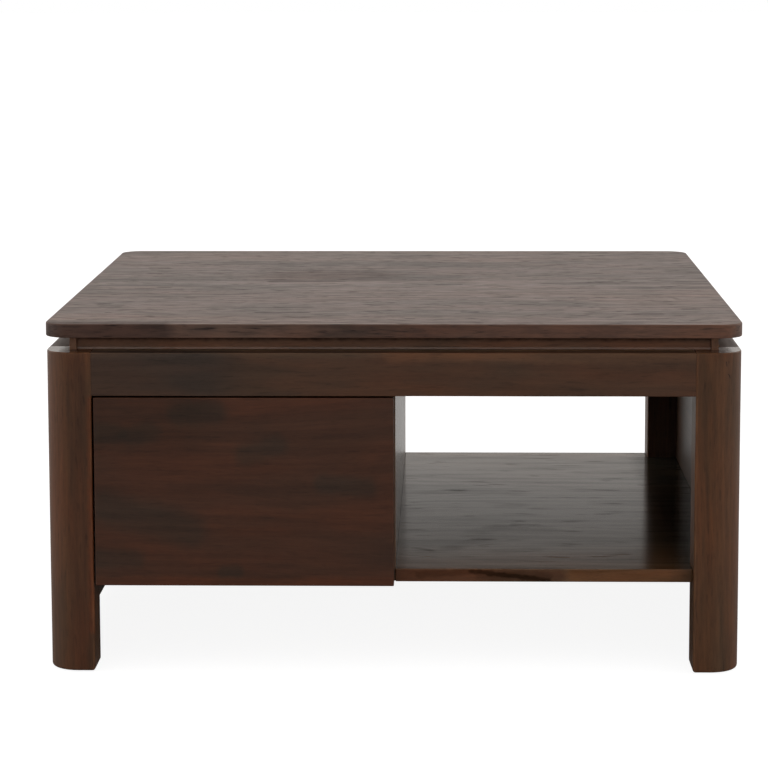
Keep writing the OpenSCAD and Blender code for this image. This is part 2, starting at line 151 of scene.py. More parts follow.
class TableFinish(PropertyGroup):
    """Stain, lacquer and metal."""

    top_colour: shade("Top", (0.082, 0.037, 0.022), "Stain on the top")
    leg_colour: shade("Legs", (0.090, 0.035, 0.0135), "Stain on the legs")
    frame_colour: shade("Aprons", (0.086, 0.037, 0.0185), "Stain on the aprons")
    # Set far lighter than the aprons' stain: partly the strips' stain, partly painted light in the recess
    # under the top
    reveal_stain_and_light: shade("Reveal", (0.200, 0.092, 0.050), "Stain on the strips under the top")
    panel_colour: shade("Panels", (0.100, 0.050, 0.027), "Stain on the side panels, divider and rear panel")
    shelf_colour: shade("Shelf", (0.126, 0.073, 0.038), "Stain on the shelf")
    front_colour: shade("Drawer front", (0.0620, 0.0222, 0.0106), "Stain on the drawer's front")
    inner_colour: shade("Inside", (0.20, 0.115, 0.065), "Thin stain on the boards inside")
    ply_colour: shade("Drawer bottom", (0.25, 0.155, 0.09), "Thin stain on the plywood bottom")
    zinc_colour: shade("Zinc plate", (0.62, 0.64, 0.66), "Plating of the runners and screws")
    bearing_colour: shade("Bearings", (0.72, 0.73, 0.74), "Polished balls and cages")
    plastic_colour: shade("Glides", (0.018, 0.018, 0.019), "Black plastic under the legs")
    top_rough: share("Top gloss", 0.42, "Roughness of the top's lacquer")
    edge_rough: share("Edge gloss", 0.16, "Roughness of the legs' tops and the foot of the reveal")
    frame_rough: share("Frame gloss", 0.42, "Roughness of the frame's lacquer")
    panel_rough: share("Panel gloss", 0.34, "Roughness of the panels' lacquer")
    divider_rough: share("Divider gloss", 0.24, "Roughness of the divider's lacquer")
    shelf_rough: share("Shelf gloss", 0.14, "Roughness of the shelf's lacquer")
    front_rough: share("Drawer front gloss", 0.42, "Roughness of the drawer front's lacquer")
    inner_rough: share("Inside gloss", 0.62, "Roughness of the boards inside")
    lacquer_ior: share("Lacquer index", 1.42, "Refractive index of the broad faces' lacquer", 2.0)
    frame_ior: share("Frame index", 1.33, "Refractive index of the frame's thin lacquer", 2.0)
    wear: share("Wear", 0.35, "How much lighter the eased edges are")
    pore_depth: length("Pore depth", 0.00004, "Depth of the open pores")
    fibre_depth: length("Fibre depth", 0.000006, "Height of the raised fibres")
    ripple_depth: length("Ripple", 0.00010, "Height of the slow ripple that sanding leaves")
    drift: length("Ragged marks", 0.006, "How far the dark marks in the wood wander")


class TableStudio(PropertyGroup):
    """Light, floor and camera place."""

    ahead: wall_light("Wall behind the table", (1.02, 1.09, 1.24, 0.62, 0.02, 0.24, 2.00))
    ahead_tint: shade("Tint", (1.0, 0.955, 0.910), "Colour of the walls behind and right of the table")
    behind: wall_light("Wall behind the camera", (0.15, 0.20, 1.80, 1.80, 0.40, 0.45))
    left: wall_light("Left wall", (2.0, 3.4, 1.1))
    right: wall_light("Right wall", (1.6, 2.7, 1.7))
    ceiling: share("Ceiling", 0.55, "Brightness of the ceiling", 4.0)
    floor_grey: share("Floor", 0.50, "How much of its light the floor throws back on the table")
    floor_seen: share("Floor seen", 0.30, "Share of its light in the floor that the camera sees")
    floor_glow: share("Floor glow", 0.90, "Even light added to the floor that the camera sees")
    floor_shine: share("Floor shine", 0.22, "Light where the lacquer mirrors the floor behind the table")
    camera_place: FloatVectorProperty(
        name="Camera",
        description="Place of the camera",
        default=(0.0625, -3.4979, 0.8170),
        subtype="TRANSLATION",
    )
    camera_down: angle("Camera pitch", 0.1263, "Camera's tilt below level")
    camera_turn: angle("Camera turn", 0.02333, "Camera's turn to the left of +Y")
    camera_roll: angle("Camera roll", -0.0022, "Camera's turn about its own axis")


def operator(operation, swapped=False):
    """A method of Wire that stands for one of Python's operators."""

    def method(self, other):
        pair = (other, self) if swapped else (self, other)
        return self.finish.maths(operation, *pair)

    return method


class Wire:
    """A node's output, which Python's arithmetic joins to further Math nodes."""

    def __init__(self, finish, socket):
        self.finish = finish
        self.socket = socket

    __add__ = __radd__ = operator("ADD")
    __sub__ = operator("SUBTRACT")
    __rsub__ = operator("SUBTRACT", True)
    __mul__ = __rmul__ = operator("MULTIPLY")
    __truediv__ = operator("DIVIDE")
    __pow__ = operator("POWER")
    __gt__ = operator("GREATER_THAN")

    def __abs__(self):
        return self.finish.maths("ABSOLUTE", self)

    def spread(self, low, high, to=1.0, kind="LINEAR"):
        """0 below low, and to above high. With low above high it falls."""
        sockets = {"Value": self, "From Min": low, "From Max": high, "To Max": to}
        return self.finish.node("ShaderNodeMapRange", {"interpolation_type": kind}, sockets)

    def ease(self, low, high):
        """0 below low, 1 above high and a smooth rise between them. With low above high it falls."""
        return self.spread(low, high, kind="SMOOTHSTEP")

    def climb(self, places, values):
        """Straight lines from value to value at rising places, level outside the first and the last."""
        level = values[0]
        for low, high, before, after in zip(places, places[1:], values, values[1:]):
            level = level + self.spread(low, high, after - before)
        return level


class Finish:
    """A tree of nodes under construction, for a material or for the world."""

    def __init__(self, owner):
        owner.use_nodes = True
        self.owner = owner
        self.tree = owner.node_tree
        self.tree.nodes.clear()

    def node(self, kind, settings=None, sockets=None, output=0):
        """Adds a node, sets its settings, then its sockets from numbers or wires, and gives one output."""
        made = self.tree.nodes.new(kind)
        for name, value in (settings or {}).items():
            setattr(made, name, value)
        for key, value in (sockets or {}).items():
            socket = made.inputs[key]
            if isinstance(value, Wire):
                self.tree.links.new(value.socket, socket)
            elif socket.type == "RGBA":
                socket.default_value = (*value[:3], 1.0)
            else:
                socket.default_value = value
        return Wire(self, made.outputs[output]) if made.outputs else made

    def maths(self, operation, *values):
        """One Math node."""
        return self.node("ShaderNodeMath", {"operation": operation}, dict(enumerate(values)))

    def split(self, vector):
        """The three parts of a vector or colour."""
        made = self.node("ShaderNodeSeparateXYZ", None, {0: vector})
        return [Wire(self, output) for output in made.socket.node.outputs]

    def place(self):
        """Object coordinates in metres."""
        return self.split(self.node("ShaderNodeTexCoord", output="Object"))

    def noise(self, point, detail=2.0, roughness=0.5, kind="3D"):
        """Smooth noise from 0 to 1 at a point given by its parts, or at one number."""
        sockets = {"Scale": 1.0, "Detail": detail, "Roughness": roughness}
        if kind == "1D":
            sockets["W"] = point
        else:
            sockets["Vector"] = self.node("ShaderNodeCombineXYZ", None, dict(enumerate(point)))
        return self.node("ShaderNodeTexNoise", {"noise_dimensions": kind}, sockets)

    def mix(self, factor, first, second, blend="MIX"):
        """A colour between two colours."""
        settings = {"data_type": "RGBA", "blend_type": blend}
        return self.node("ShaderNodeMix", settings, {0: factor, 6: first, 7: second}, output=2)

    def scale(self, colour, factor):
        """A colour made lighter or darker."""
        return self.node("ShaderNodeVectorMath", {"operation": "SCALE"}, {0: colour, "Scale": factor})

    def near(self, point, start, end, radius):
        """1 close to the line between two places, fading to 0 at a radius from it."""
        run = np.subtract(end, start)
        off = self.vector("SUBTRACT", point, start)
        along = self.vector("DOT_PRODUCT", off, tuple(run / (run @ run)), "Value")
        along = self.node("ShaderNodeClamp", None, {0: along})
        away = self.vector("DISTANCE", off, self.scale(tuple(run), along), "Value")
        return away.ease(radius, radius * 0.3)

    def vector(self, operation, first, second, output="Vector"):
        """One Vector Math node."""
        return self.node("ShaderNodeVectorMath", {"operation": operation}, {0: first, 1: second}, output)

    def bump(self, height):
        """The normal of a surface raised by a height in metres."""
        return self.node("ShaderNodeBump", None, {"Strength": 1.0, "Distance": 1.0, "Height": height})

    def surface(self, **sockets):
        """Ends a material in one Principled shader. A socket's name is written with _ for its spaces."""
        named = {name.replace("_", " "): value for name, value in sockets.items()}
        named = {name.replace("Ior", "IOR"): value for name, value in named.items()}
        shader = self.node("ShaderNodeBsdfPrincipled", None, named)
        self.node("ShaderNodeOutputMaterial", None, {"Surface": shader})
        return self.owner


def stain(strength):
    """The tint of a dark mark, from 1 where it doesn't show to DARK_STAIN at full strength."""
    return tuple(1 - strength * (1 - part) for part in DARK_STAIN)


def streaks(axis, level, rows):
    """Marks on a face that lies across an axis at a level: Z for a level face, or Y for an upright one.

    A row is (place, place, run, rise, radius, tint), with the places and the ways to the other end along
    the face's two axes. A tint given as one number is the strength of a dark stain. One given as a colour
    tones the wood, and some of these stand in for light, shade or mirroring and not for the wood itself.
    """
    marks = []
    for first, second, run, rise, radius, tint in rows:
        ends = [(first, second), (first + run, second + rise)]
        ends = [(a, b, level) if axis == "Z" else (a, level, b) for a, b in ends]
        marks.append((*ends, radius, stain(tint) if isinstance(tint, float) else tint))
    return marks


def tinted(colour, tint):
    """A colour with each part multiplied, worked out in Python."""
    return tuple(part * by for part, by in zip(colour, tint))


# How the wood of a board is figured. A tuple gives how strongly a figure shows, and how many of its
# features go on a metre along the grain and across it. fibres and boards are strengths, sheen is how far
# the figure dulls the lacquer, relief how far it shows through it, and bend how far in metres the grain
# wanders. index names the lacquer's own, or film gives the weight of a film that lies level over the wood,
# and its loss where it is dull.
Figure = namedtuple(
    "Figure",
    "rings streaks patches flecks fibres boards sheen relief bend index film",
    defaults=("frame_ior", None),
)
PLAIN = Figure(0.22, (0.26, 6, 120), (0.55, 5, 24), (0.22, 26, 220), 0.34, 0.08, 0.6, 0.5, 0.02)
LEG = Figure(0.20, (0.34, 14, 230), (0.50, 6, 40), (0.25, 40, 260), 0.34, 0.04, 0.6, 0.5, 0.02)
TOP = Figure(
    0.30, (0.55, 30, 190), (0.60, 4, 14), (0.55, 44, 210), 0.40, 0.14, 1.5, 0.7, 0.03, "lacquer_ior"
)
SHELF = Figure(
    0.36, (0.40, 8, 48), (0.60, 4, 12), (0.15, 18, 70), 0.34, 0.10, 1.0, 0.08, 0.14, film=(0.97, 2.1)
)
PANEL = Figure(
    0.25, (0.26, 6, 100), (0.45, 5, 20), (0.15, 24, 200), 0.30, 0.08, 0.15, 0.05, 0.02, "lacquer_ior"
)
FRONT = Figure(0.24, (0.28, 12, 170), (0.30, 9, 30), (0.16, 30, 240), 0.55, 0.04, 0.5, 0.4, 0.08)


def wood(
    name, grain, across, colour, rough, figure,
    cuts=(), heart=(0.0, 0.0), knots=(), marks=(), glossy=None, seed=0.0,
):
    """Stained and lacquered wood, drawn as a solid so that every face and end grain agrees.

    grain and across name the axes along the fibres and over the board's width. cuts are (axis, place,
    weight): the weights of the cuts that a point lies past add up to the number of its board, from which
    the board draws its own shift, heart and tone. The year rings are noise on the distance from the
    heart line, bent by slow noise; streaks, flecks, fibres and pores are noise stretched along the grain.
    marks are streaks of its own: (start, end, radius, tint), with places in X, Y and Z. glossy is the pair
    of heights between which the lacquer turns from dull to glossy.
    """
    finish = bpy.context.scene.table_finish
    f = Finish(bpy.data.materials.new(name))
    point = f.node("ShaderNodeTexCoord", output="Object")
    axes = dict(zip("XYZ", f.split(point)))
    deep = "XYZ".replace(grain, "").replace(across, "")
    u, v, w = axes[grain], axes[across], axes[deep]
    board = sum((weight * (axes[axis] > at) for axis, at, weight in cuts), seed)
    if cuts:
        settings = {"noise_dimensions": "1D"}
        first, second, third = f.split(f.node("ShaderNodeTexWhiteNoise", settings, {"W": board}, "Color"))
    else:
        drawn = np.random.default_rng(int(seed * 10) + 5).random(3)
        first, second, third = (float(value) for value in drawn)

    def from_knot(knot, squeeze):
        """How far a point is from a knot, which is drawn out along the grain."""
        away_u, away_v = (axes[grain] - knot[0]) * squeeze, v - knot[1]
        return (away_u * away_u + away_v * away_v) ** 0.5

    def stretched(along, over, detail, roughness, deeper=1.0):
        """Noise with so many features a metre along the grain, over the board's width and into it."""
        return f.noise((u * along, side * over, w * (over * deeper)), detail, roughness)

    u = u + first * 3.0
    bend = f.noise((u * 1.7, v * 5.0 + second * 9.0, w * 5.0), 1.5) - 0.5
    fine_bend = f.noise((u * 9.0, v * 22.0, w * 22.0), 1.0) - 0.5
    off_v = v - heart[0] - (second - 0.5) * 0.16
    off_w = w - heart[1] + 0.035 + third * 0.07
    reach = (off_v * off_v + off_w * off_w) ** 0.5 + bend * 0.045 + fine_bend * 0.004
    for knot in knots:
        swell = from_knot(knot, 0.45).ease(knot[2] * 5.0, 0.0)
        reach = reach + swell * knot[2] * 1.5
    rings = f.noise(reach * 95.0 + first * 40.0, 2.0, 0.6, "1D").ease(0.32, 0.70)
    side = v + bend * figure.bend
    streak = stretched(*figure.streaks[1:], 4.0, 0.62).ease(0.28, 0.72)
    fleck = stretched(*figure.flecks[1:], 1.5, 0.5, 3.0).ease(0.60, 0.72)
    fibre = stretched(45.0, 950.0, 2.0, 0.7)
    pore = stretched(90.0, 2100.0, 1.0, 0.5).ease(0.60, 0.70)
    cool = figure.patches[0] * stretched(*figure.patches[1:], 2.0, 0.6).ease(0.46, 0.66)
    warm = f.noise((u * 5.0, side * 22.0, w * 22.0 + 7.0), 2.0, 0.5).ease(0.30, 0.70)
    light = 1.0 + figure.rings * (rings - 0.5) + figure.streaks[0] * (streak - 0.5)
    light = light - figure.flecks[0] * fleck + figure.fibres * (fibre - 0.5) - 0.30 * pore
    if cuts:
        light = light * (1.0 + figure.boards * (third - 0.5) * 2.0)
    for knot in knots:
        light = light * (1.0 - 0.75 * from_knot(knot, 0.6).ease(knot[2], knot[2] * 0.4))
    dull = fleck * 0.16 + (0.5 - streak) * 0.08 + (0.5 - rings) * (0.15 * figure.rings) + cool * 0.06
    dull = dull * figure.sheen

    tint = f.mix(warm, tinted(colour, (0.92, 1.0, 1.05)), tinted(colour, (1.12, 0.99, 0.88)))
    tint = f.mix(cool, tint, tinted(colour, (0.56, 0.74, 0.84)))
    tint = f.scale(tint, light)
    if marks:
        slow = {"Vector": point, "Scale": 90.0, "Detail": 2.0}
        drift = f.vector("SUBTRACT", f.node("ShaderNodeTexNoise", None, slow, "Color"), (0.5, 0.5, 0.5))
        ragged = f.vector("ADD", point, f.scale(drift, finish.drift))
    for start, end, radius, change in marks:
        near = f.near(ragged, start, end, radius)
        tint = f.mix(near, tint, change, "MULTIPLY")
        dull = dull + near * (MARK_DULL * max(0.0, 1 - change[1]))
    worn = f.node("ShaderNodeAttribute", {"attribute_name": "rim"}, output="Fac")
    worn = worn * finish.wear * f.noise((u * 40.0, v * 160.0, w * 160.0), 2.0, 0.6).ease(0.25, 0.75)
    tint = f.mix(worn, tint, tinted(colour, (2.7, 3.1, 3.4)))
    ripple = f.noise((u * 4.0, v * 14.0, w * 14.0), 0.0)
    height = fibre * (figure.relief * finish.fibre_depth) - pore * (figure.relief * finish.pore_depth)
    height = height + ripple * (figure.relief * finish.ripple_depth) - fleck * (figure.relief * 0.00001)
    if figure.film:
        least, fall = figure.film
        return f.surface(
            Base_Color=tint,
            Roughness=0.5,
            Ior=1.0,
            Normal=f.bump(height),
            Coat_Weight=f.maths("MINIMUM", least - dull * fall, 1.0),
            Coat_Roughness=rough,
            Coat_Ior=finish.lacquer_ior,
        )
    rough = rough + dull
    if glossy:
        rough = rough + axes["Z"].ease(*glossy) * (finish.edge_rough - rough)
    index = getattr(finish, figure.index)
    return f.surface(Base_Color=tint, Roughness=rough, Ior=index, Normal=f.bump(height))


def plywood(name, colour, rough):
    """A thin board of three plies, whose edge shows one ply across the other two."""
    f = Finish(bpy.data.materials.new(name))
    x, y, z = f.place()
    bend = f.noise((x * 2.0, y * 6.0, z * 6.0), 1.0) - 0.5
    rings = f.noise((y + bend * 0.10) * 60.0, 2.0, 0.6, "1D").ease(0.30, 0.70)
    streak = f.noise((x * 5.0, y * 90.0, z * 90.0), 3.0, 0.6).ease(0.28, 0.72)
    fibre = f.noise((x * 60.0, y * 1200.0, z * 1200.0), 2.0, 0.6)
    low, high = (corner[2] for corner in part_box("drawer_bottom"))
    middle = abs(z - (low + high) / 2) / ((high - low) / 6)
    core = middle.ease(1.02, 0.98)
    light = 0.9 + 0.18 * rings + 0.16 * streak + 0.15 * (fibre - 0.5) - 0.25 * core
    height = fibre * 0.000015
    return f.surface(
        Base_Color=f.scale(colour, light), Roughness=rough + 0.08 * (0.5 - streak), Normal=f.bump(height)
    )


def plated_steel(name, colour, rough, spangle):
    """Zinc plate: a fine spangle, the long lines that the rollers left, and a few dull marks."""
    f = Finish(bpy.data.materials.new(name))
    x, y, z = f.place()
    point = f.node("ShaderNodeCombineXYZ", None, {0: x, 1: y, 2: z})
    cells = f.node("ShaderNodeTexVoronoi", None, {"Vector": point, "Scale": spangle}, output="Color")
    grain = f.split(cells)[0]
    lines = f.noise((x * 2500.0, y * 12.0, z * 2500.0), 2.0, 0.6)
    marks = f.noise((x * 120.0, y * 60.0, z * 120.0), 3.0, 0.6).ease(0.55, 0.70)
    light = 0.90 + 0.14 * grain + 0.10 * (lines - 0.5) - 0.12 * marks
    height = lines * 0.000006 + grain * 0.000003
    return f.surface(
        Base_Color=f.scale(colour, light),
        Metallic=1.0,
        Roughness=rough + 0.10 * (grain - 0.5) + 0.15 * marks,
        Normal=f.bump(height),
    )


def polished_steel(name, colour):
    """Bright bearing steel with a thin film of grease that gathers in places."""
    f = Finish(bpy.data.materials.new(name))
    x, y, z = f.place()
    grease = f.noise((x * 300.0, y * 90.0, z * 300.0), 3.0, 0.6).ease(0.45, 0.65)
    light = 1.0 - 0.25 * grease
    return f.surface(
        Base_Color=f.scale(colour, light), Metallic=1.0, Roughness=0.12 + 0.25 * grease
    )


def moulded_plastic(name, colour):
    """Black plastic with the fine pebble of its mould, scuffed grey underneath."""
    f = Finish(bpy.data.materials.new(name))
    x, y, z = f.place()
    pebble = f.noise((x * 2600.0, y * 2600.0, z * 2600.0), 2.0, 0.6)
    scuff = f.noise((x * 500.0, y * 90.0, z * 500.0), 3.0, 0.6).ease(0.50, 0.72) * z.ease(0.0006, 0.0)
    tint = f.mix(scuff * 0.6, f.scale(colour, 0.85 + 0.3 * pebble), (0.12, 0.12, 0.12))
    return f.surface(
        Base_Color=tint, Roughness=0.55 + 0.2 * scuff, Normal=f.bump(pebble * 0.00003)
    )


def outline(corners, radii):
    """A closed line, straight between its corners and round at them, walked anticlockwise.

    At a corner the walk turns by an angle a. The arc of radius r starts r * tan(a / 2) before the corner.
    Where its heading has turned from h0 to h, it has gone r * (sin h - sin h0) along the first axis and
    r * (cos h0 - cos h) along the second, with r negative where the walk turns right. Gives the points, a
    number for each that rises to 1 in the middle of a small arc, where a corner wears, how far in the line
    can be drawn there until an outward arc has nearly shrunk to its corner, that corner's own mitre, and
    the share of the way round, which stands still on the arcs.
    """
    corners = np.asarray(corners, float)
    radii = np.broadcast_to(np.asarray(radii, float), len(corners))
    first, second = corners.T
    if first @ np.roll(second, -1) < second @ np.roll(first, -1):
        corners, radii = corners[::-1], radii[::-1]
    run = corners - np.roll(corners, 1, axis=0)
    heading = np.arctan2(run[:, 1], run[:, 0])
    turn = (np.roll(heading, -1) - heading + np.pi) % (2 * np.pi) - np.pi
    back = (radii * np.tan(np.abs(turn) / 2))[:, None]
    unit = np.stack([np.cos(heading), np.sin(heading)], 1)
    starts = corners - back * unit
    ends = corners + back * np.roll(unit, -1, axis=0)
    normal = np.stack([unit[:, 1], -unit[:, 0]], 1)
    other = np.roll(normal, -1, axis=0)
    corner_mitres = (normal + other) / (1 + np.sum(normal * other, axis=1, keepdims=True))
    points = []
    worn = []
    owner = []
    for i in range(len(corners)):
        along = np.linspace(0, 1, max(4, int(radii[i] * abs(turn[i]) / ARC_STEP)))
        to = heading[i] + along * turn[i]
        swing = np.stack([np.sin(to) - np.sin(heading[i]), np.cos(heading[i]) - np.cos(to)], 1)
        points.append(starts[i] + radii[i] * np.sign(turn[i]) * swing)
        worn.append(np.sin(np.pi * along) * (radii[i] < WORN_RADIUS))
        owner.append(np.full(len(along), i))
        after = (i + 1) % len(corners)
        gap = starts[after] - ends[i]
        along = np.linspace(0, 1, int(np.hypot(*run[after]) / STRAIGHT_STEP) + 2)[1:-1]
        points.append(ends[i] + along[:, None] * gap)
        worn.append(0 * along)
        owner.append(np.full(len(along), -1))
    owner = np.concatenate(owner)
    room = np.where((owner < 0) | (turn[owner] < 0), NO_CORNER, 0.9 * radii[owner])
    around = np.cumsum(owner < 0) / max(1, np.sum(owner < 0))
    return np.concatenate(points), np.concatenate(worn), room, corner_mitres[owner], around


def mitres(points):
    """For each point of a closed line, the outward step that moves both of its sides out by one metre.

    With n and m the outward unit normals of the two sides, it is (n + m) / (1 + n . m).
    """
    side = np.roll(points, -1, axis=0) - points
    side = side / np.linalg.norm(side, axis=1, keepdims=True)
    normal = np.stack([side[:, 1], -side[:, 0]], 1)
    other = np.roll(normal, 1, axis=0)
    return (normal + other) / (1 + np.sum(normal * other, axis=1, keepdims=True))


def sanding(around, along, depth, seed):
    """How far sanding has gone in: slow waves over the share around a board and the metres along it.

    Three sines, each with a whole number of waves around and its own length along, are added and
    brought between 0 and depth.
    """
    chance = np.random.default_rng(seed)
    waves = chance.integers(1, 5, 3)[:, None, None]
    lengths = chance.uniform(0.15, 0.45, 3)[:, None, None]
    starts = chance.uniform(0, 2 * np.pi, 3)[:, None, None]
    phase = 2 * np.pi * (waves * around[None, None, :] + along[None, :, None] / lengths) + starts
    return depth * (0.5 + np.sin(phase).sum(0) / 6)


def woven(shape):
    """The numbers of a grid's points and of their neighbours along each closed row, and its quads."""
    index = np.arange(np.prod(shape)).reshape(shape)
    beside = np.roll(index, -1, axis=1)
    quads = np.stack([index[:-1], beside[:-1], beside[1:], index[1:]], -1).reshape(-1, 4)
    return index, beside, quads.tolist()


def carried(line, axis, low, high, ease, wander=0.0, seed=0, change=None):
    """A closed line carried along an axis from low to high, with both ends eased and closed.

    The surface is a function of the place on the line and of the row. At the angle t round the lower
    rim a row is drawn in by ease * (1 - sin t) and stands ease * (1 - cos t) over the end, and the upper
    rim mirrors it. ease is one number, or one for each end. Drawing in follows the line's mitres, and goes
    on along a corner's own mitre once the arc round that corner has nearly shrunk to a point.
    change is (other line, start, end): with s the share of the way from start to end, the line turns
    into the other one by s * s * (3 - 2 * s).
    """
    points, worn, room, corner, around = line
    below, above = np.broadcast_to(ease, 2)
    angle = np.linspace(0, np.pi / 2, EASE_STEPS + 1)
    rows = int((high - low) / ROW_STEP) if wander else 0
    middle = np.linspace(low + below, high - above, rows + 2)[1:-1]
    if change:
        middle = np.sort(np.concatenate([middle, np.linspace(change[1], change[2], 5)]))
    drawn = np.concatenate([below * (1 - np.sin(angle)), 0 * middle, above * (1 - np.cos(angle))])
    height = np.concatenate(
        [low + below * (1 - np.cos(angle)), middle, high - above * (1 - np.sin(angle))]
    )
    rim = np.concatenate([np.sin(2 * angle), 0 * middle, np.sin(2 * angle)])
    drawn = drawn[:, None] + sanding(around, height, wander, seed)
    flat = np.broadcast_to(points, (*drawn.shape, 2))
    if change:
        share_done = np.clip((height - change[1]) / (change[2] - change[1]), 0, 1)[:, None]
        share_done = share_done * share_done * (3 - 2 * share_done)
        flat = flat + share_done[..., None] * (change[0][0] - points)
        room = room + share_done * (change[0][2] - room)
    flat = flat - mitres(points) * np.minimum(drawn, room)[..., None]
    flat = flat - corner * np.maximum(drawn - room, 0)[..., None]
    solid = np.concatenate([flat, np.broadcast_to(height[:, None, None], (*drawn.shape, 1))], -1)
    solid = np.roll(solid, {"Z": 0, "X": 1, "Y": 2}[axis], axis=-1)
    index, beside, quads = woven(drawn.shape)
    faces = [*quads, index[0][::-1].tolist(), index[-1].tolist()]
    worn = np.maximum(rim[:, None], worn[None])
    worn[[0, -1]] = 0.0
    return solid.reshape(-1, 3), faces, worn.ravel()


def turned(profile, count, sunk):
    """A profile of (radius, height) turned about Z, with its two ends on the axis closed by a point.

    At the angle a and the row r the surface is (radius * cos a, radius * sin a, height + sunk(x, y)). The
    heads' recess is cut by sunk, which only acts on the rows before the rim, where the radius still grows.
    """
    radius, height = np.asarray(profile, float).T
    angle = np.linspace(0, 2 * np.pi, count, endpoint=False)
    x = radius[:, None] * np.cos(angle)
    y = radius[:, None] * np.sin(angle)
    face = (np.arange(len(radius)) < np.argmax(radius))[:, None]
    z = height[:, None] + face * sunk(x, y)
    ring = np.stack([x, y, z], -1).reshape(-1, 3)
    ends = [[0, 0, height[0] + sunk(0.0, 0.0)], [0, 0, height[-1]]]
    index, beside, quads = woven(x.shape)
    foot = np.stack([beside[0], index[0], np.full(count, x.size)], -1)
    crown = np.stack([index[-1], beside[-1], np.full(count, x.size + 1)], -1)
    faces = [*quads, *foot.tolist(), *crown.tolist()]
    return np.concatenate([ring, ends]), faces, np.zeros(x.size + 2)


def cross_recess(x, y):
    """How far a screw's face is sunk at x and y: two arms that cross, deepest in the middle."""
    reach = np.hypot(x, y)
    arm = np.maximum(np.abs(x) < 0.00045, np.abs(y) < 0.00045) * (reach < 0.0024)
    return 0.0011 * np.maximum(arm * (1 - reach / 0.0030), reach < 0.0009)


def screw(head, shank, thick, long, dome):
    """One screw along +Z with its head's face at z = 0: radii of head and shank, the head's thickness,
    the whole length, and how far the face rises in its middle."""
    radius = np.concatenate([np.linspace(0.02, 0.62, 16), np.linspace(0.68, 0.96, 5)]) * head
    rise = dome * (radius / head) ** 2.5
    rim = [(head, dome + 0.0002), (head, thick - 0.0001), (head - 0.0001, thick), (shank + 0.0001, thick)]
    tip = [(shank, thick + 0.0001), (shank, long - 1.2 * shank), (0.6 * shank, long - 0.3 * shank)]
    return turned([*zip(radius, rise), *rim, *tip, (0.1 * shank, long)], 48, cross_recess)


def joined(shell, places, axis, way):
    """Copies of a shell made along Z, turned to run along an axis, up it or down it, and put at places."""
    points, faces, worn = shell
    points = np.roll(points, {"Z": 0, "X": 1, "Y": 2}[axis], axis=-1)
    if way < 0:
        points = points * np.roll([1, -1, -1], {"Z": 2, "X": 0, "Y": 1}[axis])
    places = np.asarray(places, float)
    many = (points[None] + places[:, None]).reshape(-1, 3)
    every = [[corner + k * len(points) for corner in face] for k in range(len(places)) for face in faces]
    return many, every, np.tile(worn, len(places))


def add_piece(name, shell, material, *nodes):
    """Puts a shell into a new object, which stands for its CAD nodes and rides on their body."""
    points, faces, worn = shell
    mesh = bpy.data.meshes.new(name)
    mesh.from_pydata(points.tolist(), [], faces)
    mesh.polygons.foreach_set("use_smooth", np.ones(len(faces), bool))
    mesh.attributes.new("rim", "FLOAT", "POINT").data.foreach_set("value", worn.astype(np.float32))
    mesh.materials.append(material)
    mesh.update()
    piece = bpy.data.objects.new(name, mesh)
    bpy.context.scene.collection.objects.link(piece)
    piece.modifiers.new("Face normals", "WEIGHTED_NORMAL")
    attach(piece, BODY_OF[nodes[0]])
    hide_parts(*nodes)
    return piece


def dress(material, *nodes):
    """Gives carried-over CAD nodes their finish."""
    for node in nodes:
        mesh = frame["nodes"][node].data
        mesh.materials.clear()
        mesh.materials.append(material)


def oblong(low, high):
    """The four corners of an upright rectangle, anticlockwise."""
    return [(low[0], low[1]), (high[0], low[1]), (high[0], high[1]), (low[0], high[1])]


def chosen(context):
    """The sizes of the edges and the finishes that the user has chosen."""
    return context.scene.table_edges, context.scene.table_finish


def shouldered(node, axis):
    """A node's box, cut back along X or Y to the legs' inner faces, where its tenons or tongues begin."""
    box = np.array(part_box(node))
    k = "XYZ".index(axis)
    box[:, k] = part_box("leg_front_left")[1][k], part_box("leg_rear_right")[0][k]
    return box


def make_board(
    name, node, material, axis, radii, ease, wander=0.0, seed=0, box=None, corners=None, change=None
):
    """Makes a board from a section that is carried along an axis, from end to end of a box.

    The box is the node's own unless another is given. Rolled so that the axis comes last, it gives the
    corners of the section first, unless others are given.
    """
    low, high = np.roll(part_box(node) if box is None else box, 2 - "XYZ".index(axis), axis=1).tolist()
    line = outline(corners or oblong(low, high), radii)
    add_piece(name, carried(line, axis, low[2], high[2], ease, wander, seed, change), material, node)


